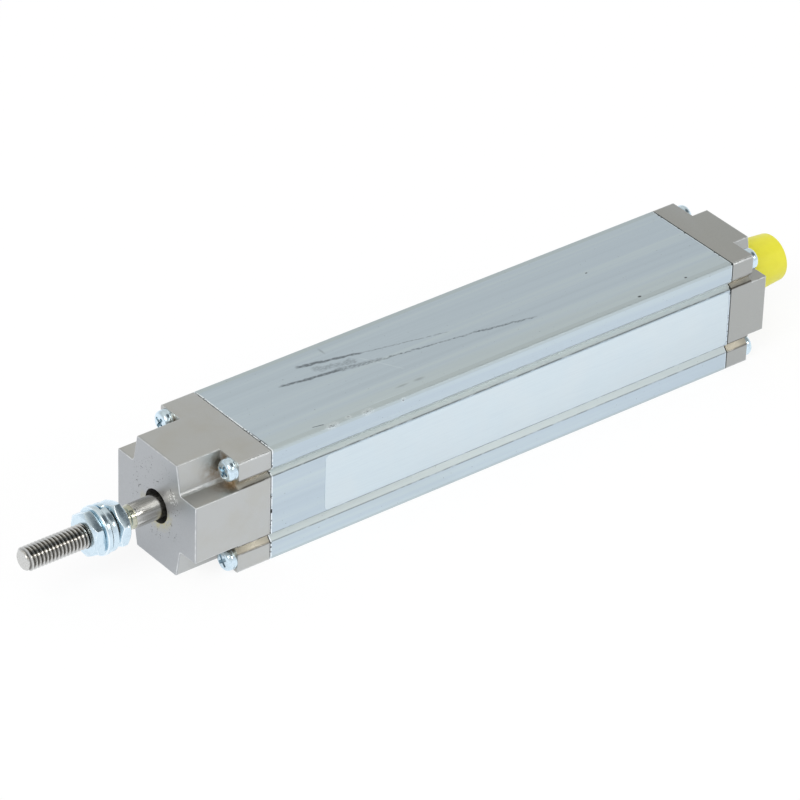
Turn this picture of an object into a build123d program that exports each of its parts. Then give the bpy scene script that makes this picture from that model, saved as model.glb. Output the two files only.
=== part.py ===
"""Inductive linear position sensor with a plunger rod and a round plug connector.

A square extruded aluminium housing lies along X. Its measuring rod comes out at -X and carries a
screw thread with two nuts for the machine part that is measured. The connector sits at +X under a
push-on dust cap. The origin is the middle of the housing's flat bottom, +Z is up, sizes are in mm.
"""
import os
from math import cos, radians, tan

from build123d import *

# Stroke and the electrical lengths along the rod
STROKE = 75.0
CORE_LENGTH = 22.0
COIL_MARGIN = 6.0  # winding past the core at each end of the stroke
FRONT_ROOM = 9.0  # from the front end of the extrusion to the first winding
REAR_ROOM = 19.0  # from the last winding to the rear end of the extrusion

# Extruded housing
SIDE = 30.0  # outside of the square section
EDGE_RADIUS = 0.5
WALL = 2.8
PORT_BLOCK = 5.6  # size of the solid block round each screw port
PORT_INSET = 2.8  # from the outside faces to the screw ports
INNER_RADIUS = 0.5
GROOVE_LEVEL = 8.65  # deepest line of a clamp groove, from the middle of the side
GROOVE_DEPTH = 1.25
GROOVE_OUTER = 1.45  # groove mouth from that line towards the edge of the side
GROOVE_INNER = 0.8  # groove mouth from that line towards the middle of the side
SLOT_DEPTH = 0.9  # guide slots that hold the circuit board

# End caps
GASKET_THICKNESS = 0.3
GASKET_INSET = 0.3
FRONT_FLANGE = 8.95
FRONT_NOSE = 12.0
REAR_FLANGE = 6.3
REAR_NOSE = 4.75
ARM_FLARE = 1.4  # how much wider the upright arm of the cross is at its root
ARM_ROUND = 0.3
POCKET_ROOM = 0.45  # between a lock washer and the foot of the upright arm
POCKET_ROUND = 0.9
CAP_EDGE = 0.2  # softened edge round the end face of a cap
SPIGOT_DEPTH = 2.0
SPIGOT_CLEARANCE = 0.15

# Cap screws, M3, with lock washers
SCREW_DIAMETER = 3.0
SCREW_GRIP = 7.0  # thread length in the extrusion
SCREW_HOLE_CLEARANCE = 0.2
SCREW_CHAMFER = 0.4
PORT_SPARE = 2.0  # port depth past the end of a screw
HEAD_DIAMETER = 5.4
HEAD_HEIGHT = 1.75
HEAD_RIM = 0.65
RECESS_SPAN = 3.2
RECESS_WIDTH = 0.8
RECESS_DEPTH = 1.1
RECESS_TURNS = (50, 15, 70, 30)  # how each screw of a cap came to rest, in degrees
LOCK_DIAMETER = 5.5
LOCK_THICKNESS = 0.6
LOCK_SPLIT = 0.5

# Measuring rod, its thread and its guide
ROD_DIAMETER = 6.0
ROD_REACH = 36.7  # from the front cap to the rod's tip with the rod pushed in
THREAD_DIAMETER = 5.9
PITCH_DIAMETER = 5.35  # where the rod's thread and its nuts meet
THREAD_LENGTH = 27.4
NECK_DIAMETER = 5.1
NECK_LENGTH = 0.9
TIP_CHAMFER = 0.7
MOUTH_DIAMETER = 8.5
MOUTH_DEPTH = 3.0
GUIDE_WALL = 2.5  # rod bush, wiper and buffer on the radius
WIPER_LENGTH = 3.0
WIPER_LIP = 1.1
BUFFER_LENGTH = 3.0
RUNNING_CLEARANCE = 0.04  # rod in its bush, on the radius
SOFT_CLEARANCE = 0.08  # rod in its wiper, on the radius
FREE_CLEARANCE = 0.3
CLIP_THICKNESS = 0.8
CLIP_GROOVE = 0.5  # depth of a retaining ring groove
CLIP_WIDTH = 1.3
CLIP_GAP = 4.0

# Nuts and washers on the rod, M6
NUT_FLATS = 10.0
NUT_THICKNESS = 3.0
NUT_FACE = 0.93  # bearing face of a nut as a share of its width across flats
NUT_CHAMFER_ANGLE = 35.0
NUT_LEAD = 0.4  # countersink at both ends of a rod nut's thread
FRONT_NUT_TURN = 25.7  # how far each nut is turned about the rod, in degrees
REAR_NUT_TURN = 40.6
THREAD_LEFT = 0.9  # thread that shows behind the rear nut
SPRING_GAP = 1.2  # between the loose spring washer and the rear nut
WASHER_DIAMETER = 12.0
WASHER_THICKNESS = 1.4
WASHER_HOLE = 6.4
WASHER_EDGE = 0.2
SPRING_DIAMETER = 11.6
SPRING_THICKNESS = 1.5
SPRING_HOLE = 6.1
SPRING_SPLIT = 0.7
SPRING_SLANT = 20.0

# Core that the rod moves through the coil
STEM_DIAMETER = 4.0
COLLAR_LENGTH = 3.0
COLLAR_GROOVE = 0.5
COLLAR_CLEARANCE = 0.2
CORE_DIAMETER = 7.0
CORE_NUT_FLATS = 7.0
CORE_NUT_THICKNESS = 2.2
SLIDER_PROUD = 0.08  # slider past the corners of the core nut, on the radius
SLIDER_CLEARANCE = 0.1
SLIDER_LENGTH = 6.0
SLIDER_CHAMFER = 0.3
STEM_SPARE = 0.5

# Coil former and its supports
FORMER_WALL = 0.7
FORMER_END_WALL = 1.0
RIB_HEIGHT = 0.9
RIB_WIDTH = 1.2
COIL_SECTIONS = 5
WINDING_HEIGHT = 0.7
HOLDER_THICKNESS = 3.0
HOLDER_CLEARANCE = 0.15
HOLDER_SPACE = 0.3  # between the front spigot and the front holder
BUFFER_DISC = 1.5

# Circuit boards
BOARD_THICKNESS = 1.6
BOARD_SPACE = 0.4  # from the ribs of the coil former down to the board
BOARD_CLEARANCE = 0.05
REAR_BOARD_SIZE = 16.0
HEADER_SIZE = 2.5
HEADER_PITCH = 1.5
HEADER_PIN = 0.6
PIN_TAIL = 0.8
CHIP_HEIGHT = 1.4
CHIP_DRAFT = 5.0  # degrees
CAPACITOR_COUNT = 3
CAPACITOR_DIAMETER = 4.0
CAPACITOR_SPACE = 0.3  # from the capacitors down to the floor of the extrusion
CAPACITOR_PITCH = 6.0
CAPACITOR_PLACE = 2.5  # middle of the capacitors behind the coil former's front end

# Round plug connector, M12 with eight pins
PIN_COUNT = 8
PIN_DIAMETER = 1.0
PIN_CIRCLE_DIAMETER = 5.5
PIN_REACH = 7.0  # from the insert's face to the pin tips
PIN_CHAMFER = 0.25
CONNECTOR_THREAD = 11.9
CONNECTOR_LENGTH = 9.0  # threaded length outside the rear cap
CONNECTOR_WALL = 1.35
THREAD_CHAMFER = 0.6
BARREL_WALL = 1.7
COLLAR_RIM = 1.7  # connector collar past its barrel
COLLAR_THICKNESS = 1.6
SEAT_DEPTH = 3.2  # from the rear end of the extrusion to the connector's seat
SEAL_WIDTH = 1.6
SEAL_DEPTH = 0.9
SEAL_PLACE = 1.5  # from the seat to the seal
SEAL_ROUND = 0.35
FIT_CLEARANCE = 0.05
INSERT_FACE = 0.8  # insert's face past the end of the rear cap
KEY_WIDTH = 1.2
KEY_HEIGHT = 0.7

# Dust cap and label
DUST_LENGTH = 15.1
DUST_GAP = 0.5
DUST_WALL = 1.1
DUST_MOUTH_WALL = 1.25
DUST_TAPER = 1.3  # how much narrower the closed end is, on the radius
DUST_CLEARANCE = 0.1
DUST_SHOULDER = 0.4
DUST_ROUND = 0.8
LABEL_FRONT = 15.3
LABEL_REAR = 0.6
LABEL_EDGE = 0.35
LABEL_THICKNESS = 0.12
LABEL_ROUND = 1.2

OVERCUT = 1.0  # how far a cut runs past the face that it opens

# Places along X that follow from the sizes above
COIL_LENGTH = STROKE + CORE_LENGTH + 2 * COIL_MARGIN
PROFILE_LENGTH = FRONT_ROOM + COIL_LENGTH + REAR_ROOM
FRONT_END = -PROFILE_LENGTH / 2
REAR_END = PROFILE_LENGTH / 2
FRONT_SEAT = FRONT_END - GASKET_THICKNESS
FRONT_PLANE = FRONT_SEAT - FRONT_FLANGE
FRONT_FACE = FRONT_PLANE - FRONT_NOSE
REAR_SEAT = REAR_END + GASKET_THICKNESS
REAR_PLANE = REAR_SEAT + REAR_FLANGE
REAR_FACE = REAR_PLANE + REAR_NOSE
BORE_END = FRONT_END + SPIGOT_DEPTH
WIPER_START = FRONT_FACE + MOUTH_DEPTH
BUSH_START = WIPER_START + WIPER_LENGTH
BUFFER_START = BORE_END - BUFFER_LENGTH
CLIP_START = BUFFER_START - CLIP_THICKNESS
COIL_START = FRONT_END + FRONT_ROOM
TIP = FRONT_FACE - ROD_REACH
THREAD_END = TIP + THREAD_LENGTH
REAR_NUT_END = THREAD_END - THREAD_LEFT
REAR_NUT_START = REAR_NUT_END - NUT_THICKNESS
WASHER_END = REAR_NUT_START - SPRING_GAP - SPRING_THICKNESS
FRONT_NUT_END = WASHER_END - WASHER_THICKNESS
FRONT_NUT_START = FRONT_NUT_END - NUT_THICKNESS
COLLAR_START = BORE_END + FREE_CLEARANCE + STROKE
CORE_START = COIL_START + COIL_MARGIN + STROKE
SLIDER_START = CORE_START + CORE_LENGTH
CORE_NUT_START = SLIDER_START + SLIDER_LENGTH
ROD_END = CORE_NUT_START + CORE_NUT_THICKNESS + STEM_SPARE
HOLDER_START = BORE_END + HOLDER_SPACE
REAR_BUFFER_START = ROD_END + FREE_CLEARANCE
FORMER_END = REAR_BUFFER_START + BUFFER_DISC + FORMER_END_WALL
REAR_BOARD_END = REAR_END - SPIGOT_DEPTH
REAR_BOARD_START = REAR_BOARD_END - BOARD_THICKNESS
SEAT = REAR_END + SEAT_DEPTH
INSERT_END = REAR_FACE + INSERT_FACE
CONNECTOR_END = REAR_FACE + CONNECTOR_LENGTH

# Places across the section, measured from the rod's axis
HALF = SIDE / 2
CAVITY_HALF = HALF - WALL
PORT = HALF - PORT_INSET
BLOCK_EDGE = HALF - PORT_BLOCK
ARM_ROOT = PORT - LOCK_DIAMETER / 2 - POCKET_ROOM
ARM_HALF = ARM_ROOT - ARM_FLARE
ROD_RADIUS = ROD_DIAMETER / 2
THREAD_RADIUS = THREAD_DIAMETER / 2
PITCH_RADIUS = PITCH_DIAMETER / 2
GUIDE_RADIUS = ROD_RADIUS + GUIDE_WALL
STEM_RADIUS = STEM_DIAMETER / 2
CORE_NUT_CORNER = CORE_NUT_FLATS / 2 / cos(radians(30))
SLIDER_RADIUS = CORE_NUT_CORNER + SLIDER_PROUD
FORMER_BORE = SLIDER_RADIUS + SLIDER_CLEARANCE
FORMER_OUTER = FORMER_BORE + FORMER_WALL
RIB_RADIUS = FORMER_OUTER + RIB_HEIGHT
BOARD_TOP = -RIB_RADIUS - BOARD_SPACE
BOARD_BOTTOM = BOARD_TOP - BOARD_THICKNESS
BOARD_MIDDLE = BOARD_TOP - BOARD_THICKNESS / 2
CAPACITOR_HEIGHT = BOARD_BOTTOM + CAVITY_HALF - CAPACITOR_SPACE
THREAD_OUTER = CONNECTOR_THREAD / 2
CONNECTOR_BORE = THREAD_OUTER - CONNECTOR_WALL
BARREL_RADIUS = CONNECTOR_BORE + BARREL_WALL
CONNECTOR_COLLAR = BARREL_RADIUS + COLLAR_RIM
DUST_INNER = THREAD_OUTER + DUST_CLEARANCE
DUST_MOUTH = DUST_INNER + DUST_MOUTH_WALL

PORTS = [(side * PORT, level * PORT) for side in (-1, 1) for level in (-1, 1)]
SIDES = (-1, 1)
ROD_AXIS = Axis((0, 0, HALF), (1, 0, 0))


def across(x):
    """Plane across the housing at x, centred on the rod's axis: its X is Y and its Y is up."""
    return Plane(origin=(x, 0, HALF), x_dir=(0, 1, 0), z_dir=(1, 0, 0))


def turned(points, mode=Mode.ADD):
    """Solid of revolution about the rod's axis from (x, radius) points."""
    lengthwise = Plane(origin=(0, 0, HALF), x_dir=(1, 0, 0), z_dir=(0, -1, 0))
    with BuildSketch(lengthwise) as outline:
        with BuildLine():
            Polyline(*points, close=True)
        make_face()
    revolve(outline.sketch, axis=ROD_AXIS, mode=mode)


def ring(start, end, inner, outer, edge=0.0):
    """Plain ring about the rod's axis with its outer edges chamfered."""
    turned(
        [
            (start, inner),
            (start, outer - edge),
            (start + edge, outer),
            (end - edge, outer),
            (end, outer - edge),
            (end, inner),
        ]
        if edge
        else [(start, inner), (start, outer), (end, outer), (end, inner)]
    )


def finish(builder, name):
    """Name a finished piece and write it to its file."""
    builder.part.label = name
    export_step(builder.part, f"parts/{name}.step")


os.makedirs("parts", exist_ok=True)


def housing_outline():
    """Square with rounded corners and two clamp grooves in each side."""
    with BuildSketch() as outline:
        Rectangle(SIDE, SIDE)
        fillet(outline.vertices(), EDGE_RADIUS)
        for side in SIDES:
            for level in SIDES:
                Polygon(
                    (side * HALF, level * (GROOVE_LEVEL + GROOVE_OUTER)),
                    (side * (HALF - GROOVE_DEPTH), level * GROOVE_LEVEL),
                    (side * HALF, level * (GROOVE_LEVEL - GROOVE_INNER)),
                    align=None,
                    mode=Mode.SUBTRACT,
                )
    return outline.sketch


def cavity_outline(clearance=0.0):
    """Room inside the extrusion, which leaves a solid block round each screw port."""
    wide = 2 * (CAVITY_HALF - clearance)
    narrow = 2 * (BLOCK_EDGE - clearance)
    with BuildSketch() as outline:
        Rectangle(wide, narrow)
        Rectangle(narrow, wide)
        fillet(outline.vertices(), INNER_RADIUS)
    return outline.sketch


def cross_outline():
    """End view of a cap's nose: a cross whose upright arm widens towards its root."""
    with BuildSketch() as outline:
        for level in SIDES:
            Polygon(
                (-ARM_HALF, level * HALF),
                (ARM_HALF, level * HALF),
                (ARM_ROOT, level * ARM_HALF),
                (ARM_ROOT, 0),
                (-ARM_ROOT, 0),
                (-ARM_ROOT, level * ARM_HALF),
                align=None,
            )
        Rectangle(SIDE, 2 * ARM_HALF)
        tips = outline.vertices().filter_by(lambda v: max(abs(v.X), abs(v.Y)) > HALF - 0.01)
        fillet(tips, ARM_ROUND)
        roots = outline.vertices().filter_by(
            lambda v: abs(abs(v.X) - ARM_ROOT) < 0.01 and abs(abs(v.Y) - ARM_HALF) < 0.01
        )
        fillet(roots, POCKET_ROUND)
    return outline.sketch


# Extruded housing with clamp grooves, screw ports and two slots that hold the circuit board
with BuildPart() as housing_profile:
    with BuildSketch(across(FRONT_END)):
        add(housing_outline())
        add(cavity_outline(), mode=Mode.SUBTRACT)
        with Locations((0, BOARD_MIDDLE)):
            Rectangle(
                2 * (CAVITY_HALF + SLOT_DEPTH),
                BOARD_THICKNESS + 2 * BOARD_CLEARANCE,
                mode=Mode.SUBTRACT,
            )
    extrude(amount=PROFILE_LENGTH)
    for start, way in ((FRONT_END, 1), (REAR_END, -1)):
        with BuildSketch(across(start)):
            with Locations(*PORTS):
                Circle(SCREW_DIAMETER / 2)
        extrude(amount=way * (SCREW_GRIP + PORT_SPARE), mode=Mode.SUBTRACT)
finish(housing_profile, "housing_profile")


# Rubber gaskets in the two joints, set in a little from the outside
for start, name in ((FRONT_SEAT, "front_gasket"), (REAR_END, "rear_gasket")):
    with BuildPart() as gasket:
        with BuildSketch(across(start)):
            Rectangle(SIDE - 2 * (GASKET_INSET + GROOVE_DEPTH), SIDE - 2 * GASKET_INSET)
            add(cavity_outline(), mode=Mode.SUBTRACT)
            with Locations(*PORTS):
                Circle(SCREW_DIAMETER / 2 + SCREW_HOLE_CLEARANCE, mode=Mode.SUBTRACT)
        extrude(amount=GASKET_THICKNESS)
    finish(gasket, name)


def cap_body(seat, flange, nose, way):
    """Cap before it is bored: flange with the housing's outline, cross-shaped nose and spigot."""
    end = seat + way * (flange + nose)
    with BuildPart() as body:
        with BuildSketch(across(seat)):
            add(housing_outline())
        extrude(amount=way * flange)
        with BuildSketch(across(seat + way * flange)):
            add(cross_outline())
        extrude(amount=way * nose)
        rim = body.faces().filter_by(lambda f: abs(f.center().X - end) < 0.01).edges()
        fillet(rim, CAP_EDGE)
        with BuildSketch(across(seat)):
            add(cavity_outline(SPIGOT_CLEARANCE))
        extrude(amount=-way * (GASKET_THICKNESS + SPIGOT_DEPTH))
        with BuildSketch(across(seat)):
            with Locations(*PORTS):
                Circle(SCREW_DIAMETER / 2 + SCREW_HOLE_CLEARANCE)
        extrude(amount=way * flange, mode=Mode.SUBTRACT)
    return body.part


# Front cap, die-cast, bored for the rod's wiper, bush, retaining ring and buffer
with BuildPart() as front_cap:
    add(cap_body(FRONT_SEAT, FRONT_FLANGE, FRONT_NOSE, -1))
    turned(
        [
            (FRONT_FACE - OVERCUT, 0),
            (FRONT_FACE - OVERCUT, MOUTH_DIAMETER / 2),
            (WIPER_START, MOUTH_DIAMETER / 2),
            (WIPER_START, GUIDE_RADIUS),
            (CLIP_START, GUIDE_RADIUS),
            (CLIP_START, GUIDE_RADIUS + CLIP_GROOVE),
            (BUFFER_START, GUIDE_RADIUS + CLIP_GROOVE),
            (BUFFER_START, GUIDE_RADIUS),
            (BORE_END + OVERCUT, GUIDE_RADIUS),
            (BORE_END + OVERCUT, 0),
        ],
        mode=Mode.SUBTRACT,
    )
finish(front_cap, "front_cap")

# Rear cap, bored for the connector's barrel, with a seat for its collar
with BuildPart() as rear_cap:
    add(cap_body(REAR_SEAT, REAR_FLANGE, REAR_NOSE, 1))
    collar_back = SEAT - COLLAR_THICKNESS
    turned(
        [
            (REAR_BOARD_END - OVERCUT, 0),
            (REAR_BOARD_END - OVERCUT, CONNECTOR_COLLAR + FIT_CLEARANCE),
            (collar_back - CLIP_THICKNESS, CONNECTOR_COLLAR + FIT_CLEARANCE),
            (collar_back - CLIP_THICKNESS, CONNECTOR_COLLAR + CLIP_GROOVE),
            (collar_back, CONNECTOR_COLLAR + CLIP_GROOVE),
            (collar_back, CONNECTOR_COLLAR + FIT_CLEARANCE),
            (SEAT, CONNECTOR_COLLAR + FIT_CLEARANCE),
            (SEAT, BARREL_RADIUS + FIT_CLEARANCE),
            (REAR_FACE + OVERCUT, BARREL_RADIUS + FIT_CLEARANCE),
            (REAR_FACE + OVERCUT, 0),
        ],
        mode=Mode.SUBTRACT,
    )
finish(rear_cap, "rear_cap")


def cap_screw(length):
    """M3 pan head screw along +X with a cross recess, its seat at the origin."""
    with BuildPart() as screw:
        with BuildSketch(Plane.YZ):
            Circle(SCREW_DIAMETER / 2)
        extrude(amount=length)
        chamfer(screw.edges().sort_by(Axis.X)[-1], SCREW_CHAMFER)
        with BuildSketch(Plane.YZ):
            Circle(HEAD_DIAMETER / 2)
        extrude(amount=-HEAD_HEIGHT)
        fillet(screw.edges().sort_by(Axis.X)[0], HEAD_HEIGHT - HEAD_RIM)
        with BuildSketch(Plane.YZ.offset(-HEAD_HEIGHT)):
            Rectangle(RECESS_SPAN, RECESS_WIDTH)
            Rectangle(RECESS_WIDTH, RECESS_SPAN)
        extrude(amount=RECESS_DEPTH, mode=Mode.SUBTRACT)
    return screw.part


def lock_washer():
    """Split lock washer under a cap screw, its bearing face at the origin."""
    with BuildPart() as washer:
        with BuildSketch(Plane.YZ):
            Circle(LOCK_DIAMETER / 2)
            Circle(SCREW_DIAMETER / 2, mode=Mode.SUBTRACT)
            with Locations((LOCK_DIAMETER / 2, 0)):
                Rectangle(LOCK_DIAMETER, LOCK_SPLIT, mode=Mode.SUBTRACT)
        extrude(amount=-LOCK_THICKNESS)
    return washer.part


# Four screws and four lock washers in the pockets of each cap
for plane_x, flange, way, cap in (
    (FRONT_PLANE, FRONT_FLANGE, 1, "front"),
    (REAR_PLANE, REAR_FLANGE, -1, "rear"),
):
    screw = cap_screw(LOCK_THICKNESS + flange + GASKET_THICKNESS + SCREW_GRIP)
    washer = lock_washer()
    if way < 0:
        screw = mirror(screw, about=Plane.YZ, mode=Mode.PRIVATE)
        washer = mirror(washer, about=Plane.YZ, mode=Mode.PRIVATE)
    with BuildPart() as screws:
        for (y, z), turn in zip(PORTS, RECESS_TURNS):
            with Locations(Location((plane_x - way * LOCK_THICKNESS, y, HALF + z), (turn, 0, 0))):
                add(screw)
    finish(screws, f"{cap}_cap_screws")
    with BuildPart() as washers:
        with Locations(*[(plane_x, y, HALF + z) for y, z in PORTS]):
            add(washer)
    finish(washers, f"{cap}_cap_washers")

# Rubber wiper with two lips that keep dirt off the rod
with BuildPart() as rod_wiper:
    lip = ROD_RADIUS + SOFT_CLEARANCE
    relief = lip + WIPER_LIP
    third = WIPER_LENGTH / 3
    turned(
        [
            (WIPER_START, relief),
            (WIPER_START, GUIDE_RADIUS),
            (BUSH_START, GUIDE_RADIUS),
            (BUSH_START, lip),
            (BUSH_START - third / 2, lip),
            (BUSH_START - third, relief),
            (WIPER_START + third, lip),
            (WIPER_START + third / 2, lip),
        ]
    )
finish(rod_wiper, "rod_wiper")

# Bronze bush that guides the rod
with BuildPart() as guide_bush:
    ring(BUSH_START, CLIP_START, ROD_RADIUS + RUNNING_CLEARANCE, GUIDE_RADIUS)
finish(guide_bush, "guide_bush")


def retaining_ring(start, outer):
    """Open steel ring for a groove inside a bore."""
    with BuildSketch(across(start)) as outline:
        Circle(outer)
        Circle(outer - CLIP_WIDTH, mode=Mode.SUBTRACT)
        with Locations((0, -outer)):
            Rectangle(CLIP_GAP, 2 * outer, mode=Mode.SUBTRACT)
    extrude(outline.sketch, amount=CLIP_THICKNESS)


# Retaining ring behind the bush
with BuildPart() as bush_clip:
    retaining_ring(CLIP_START, GUIDE_RADIUS + CLIP_GROOVE)
finish(bush_clip, "bush_clip")

# Rubber buffer that stops the rod when it is pulled right out
with BuildPart() as front_buffer:
    ring(BUFFER_START, BORE_END, ROD_RADIUS + FREE_CLEARANCE, GUIDE_RADIUS)
finish(front_buffer, "front_buffer")

# Stainless rod: threaded end, neck, polished length, collar groove and the stem for the core.
# Inside a nut the thread is a plain cylinder at its pitch diameter, and elsewhere at its crests.
with BuildPart() as measuring_rod:
    neck = NECK_DIAMETER / 2
    groove = ROD_RADIUS - COLLAR_GROOVE
    turned(
        [
            (TIP, 0),
            (TIP, THREAD_RADIUS - TIP_CHAMFER),
            (TIP + TIP_CHAMFER, THREAD_RADIUS),
            (FRONT_NUT_START, THREAD_RADIUS),
            (FRONT_NUT_START, PITCH_RADIUS),
            (FRONT_NUT_END, PITCH_RADIUS),
            (FRONT_NUT_END, THREAD_RADIUS),
            (REAR_NUT_START, THREAD_RADIUS),
            (REAR_NUT_START, PITCH_RADIUS),
            (REAR_NUT_END, PITCH_RADIUS),
            (REAR_NUT_END, THREAD_RADIUS),
            (THREAD_END - (THREAD_RADIUS - neck), THREAD_RADIUS),
            (THREAD_END, neck),
            (THREAD_END + NECK_LENGTH - (ROD_RADIUS - neck), neck),
            (THREAD_END + NECK_LENGTH, ROD_RADIUS),
            (COLLAR_START, ROD_RADIUS),
            (COLLAR_START, groove),
            (COLLAR_START + COLLAR_LENGTH, groove),
            (COLLAR_START + COLLAR_LENGTH, ROD_RADIUS),
            (CORE_START, ROD_RADIUS),
            (CORE_START, STEM_RADIUS),
            (ROD_END, STEM_RADIUS),
            (ROD_END, 0),
        ]
    )
finish(measuring_rod, "measuring_rod")

# Stop collar in its groove on the rod
with BuildPart() as stop_collar:
    ring(
        COLLAR_START,
        COLLAR_START + COLLAR_LENGTH,
        ROD_RADIUS - COLLAR_GROOVE,
        SLIDER_RADIUS - COLLAR_CLEARANCE,
        edge=COLLAR_CLEARANCE,
    )
finish(stop_collar, "stop_collar")

# Ferrite core on the rod's stem
with BuildPart() as ferrite_core:
    ring(CORE_START, SLIDER_START, STEM_RADIUS, CORE_DIAMETER / 2)
finish(ferrite_core, "ferrite_core")

# Low-friction slider that carries the inner end of the rod in the coil former
with BuildPart() as core_slider:
    ring(SLIDER_START, CORE_NUT_START, STEM_RADIUS, SLIDER_RADIUS, edge=SLIDER_CHAMFER)
finish(core_slider, "core_slider")


def hex_nut(start, thickness, flats, bore, turn, name, lead=0.0):
    """Hexagon nut about the rod's axis, chamfered at both faces and countersunk at its thread."""
    face = flats / 2 * NUT_FACE
    corner = flats / 2 / cos(radians(30))
    drop = (corner - face) * tan(radians(NUT_CHAMFER_ANGLE))
    end = start + thickness
    with BuildPart() as nut:
        with BuildSketch(across(start)):
            RegularPolygon(flats / 2, 6, major_radius=False, rotation=turn)
            Circle(bore, mode=Mode.SUBTRACT)
        extrude(amount=thickness)
        turned(
            [
                (start, 0),
                (start, face),
                (start + drop, corner),
                (end - drop, corner),
                (end, face),
                (end, 0),
            ],
            mode=Mode.INTERSECT,
        )
        if lead:
            mouths = nut.edges().filter_by(GeomType.CIRCLE).filter_by(lambda e: e.radius < face - lead)
            chamfer(mouths, lead)
    finish(nut, name)


# Nut that holds the core, and the two zinc-plated nuts on the rod's thread
hex_nut(CORE_NUT_START, CORE_NUT_THICKNESS, CORE_NUT_FLATS, STEM_RADIUS, 0, "core_nut")
for nut_start, turn, name in (
    (FRONT_NUT_START, FRONT_NUT_TURN, "front_rod_nut"),
    (REAR_NUT_START, REAR_NUT_TURN, "rear_rod_nut"),
):
    hex_nut(nut_start, NUT_THICKNESS, NUT_FLATS, PITCH_RADIUS, turn, name, NUT_LEAD)

# Flat washer against the front nut
with BuildPart() as flat_washer:
    ring(FRONT_NUT_END, WASHER_END, WASHER_HOLE / 2, WASHER_DIAMETER / 2, edge=WASHER_EDGE)
finish(flat_washer, "flat_washer")

# Split spring washer behind the flat washer
with BuildPart() as spring_washer:
    ring(WASHER_END, WASHER_END + SPRING_THICKNESS, SPRING_HOLE / 2, SPRING_DIAMETER / 2)
    slit = Plane(
        origin=(WASHER_END + SPRING_THICKNESS / 2, 0, HALF + SPRING_DIAMETER / 4 + SPRING_HOLE / 4),
        x_dir=(cos(radians(SPRING_SLANT)), tan(radians(SPRING_SLANT)) * cos(radians(SPRING_SLANT)), 0),
        z_dir=(0, 0, 1),
    )
    with BuildSketch(slit):
        Rectangle(3 * SPRING_THICKNESS, SPRING_SPLIT)
    extrude(amount=SPRING_DIAMETER / 4, both=True, mode=Mode.SUBTRACT)
finish(spring_washer, "spring_washer")

# Plastic coil former: a thin tube with ribs that part the windings, closed at its rear end
SECTION_LENGTH = (COIL_LENGTH - (COIL_SECTIONS - 1) * RIB_WIDTH) / COIL_SECTIONS
SECTION_PITCH = SECTION_LENGTH + RIB_WIDTH
with BuildPart() as coil_former:
    ring(HOLDER_START, FORMER_END, FORMER_BORE, FORMER_OUTER)
    ring(FORMER_END - FORMER_END_WALL, FORMER_END, 0, FORMER_BORE)
    for index in range(COIL_SECTIONS + 1):
        rib_start = COIL_START - RIB_WIDTH + index * SECTION_PITCH
        ring(rib_start, rib_start + RIB_WIDTH, FORMER_OUTER, RIB_RADIUS)
finish(coil_former, "coil_former")

# Copper windings between the ribs
with BuildPart() as coil_windings:
    for index in range(COIL_SECTIONS):
        start = COIL_START + index * SECTION_PITCH
        ring(start, start + SECTION_LENGTH, FORMER_OUTER, FORMER_OUTER + WINDING_HEIGHT)
finish(coil_windings, "coil_windings")

# Plastic holders that centre the coil former and rest on the circuit board
for start, name in (
    (HOLDER_START, "front_holder"),
    (FORMER_END - HOLDER_THICKNESS, "rear_holder"),
):
    with BuildPart() as holder:
        with BuildSketch(across(start)):
            add(cavity_outline(HOLDER_CLEARANCE))
            Circle(FORMER_OUTER, mode=Mode.SUBTRACT)
            with Locations((0, BOARD_TOP - SIDE / 2)):
                Rectangle(SIDE, SIDE, mode=Mode.SUBTRACT)
        extrude(amount=HOLDER_THICKNESS)
    finish(holder, name)

# Rubber disc that the pushed-in rod would meet
with BuildPart() as rear_buffer:
    ring(REAR_BUFFER_START, REAR_BUFFER_START + BUFFER_DISC, 0, FORMER_BORE)
finish(rear_buffer, "rear_buffer")


def header_pin_path(y):
    """Right-angle pin from under the long board through the header to the rear board."""
    foot = (REAR_BOARD_START - HEADER_SIZE / 2, y, HALF + BOARD_BOTTOM - PIN_TAIL)
    bend = (REAR_BOARD_START - HEADER_SIZE / 2, y, HALF + BOARD_TOP + HEADER_SIZE / 2)
    head = (REAR_BOARD_END + PIN_TAIL, y, HALF + BOARD_TOP + HEADER_SIZE / 2)
    return foot, bend, head


# Eight right-angle pins between the two circuit boards
with BuildPart() as header_pins:
    for index in range(PIN_COUNT):
        y = (index - (PIN_COUNT - 1) / 2) * HEADER_PITCH
        with BuildLine() as path:
            FilletPolyline(*header_pin_path(y), radius=HEADER_PIN)
        with BuildSketch(Plane(origin=path.line @ 0, x_dir=(0, 1, 0), z_dir=path.line % 0)):
            Rectangle(HEADER_PIN, HEADER_PIN)
        sweep(path=path.line)
finish(header_pins, "header_pins")

# Connector pins: one in the middle and the rest on a circle, soldered to the rear board
PIN_PLACES = [(0, 0)] + [
    (location.position.X, location.position.Y)
    for location in PolarLocations(PIN_CIRCLE_DIAMETER / 2, PIN_COUNT - 1, start_angle=-90).local_locations
]
with BuildPart() as connector_pins:
    with BuildSketch(across(REAR_BOARD_START - PIN_TAIL)):
        with Locations(*PIN_PLACES):
            Circle(PIN_DIAMETER / 2)
    extrude(amount=INSERT_END + PIN_REACH - REAR_BOARD_START + PIN_TAIL)
    tips = connector_pins.edges().group_by(Axis.X)[-1]
    chamfer(tips, PIN_CHAMFER)
finish(connector_pins, "connector_pins")

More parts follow.
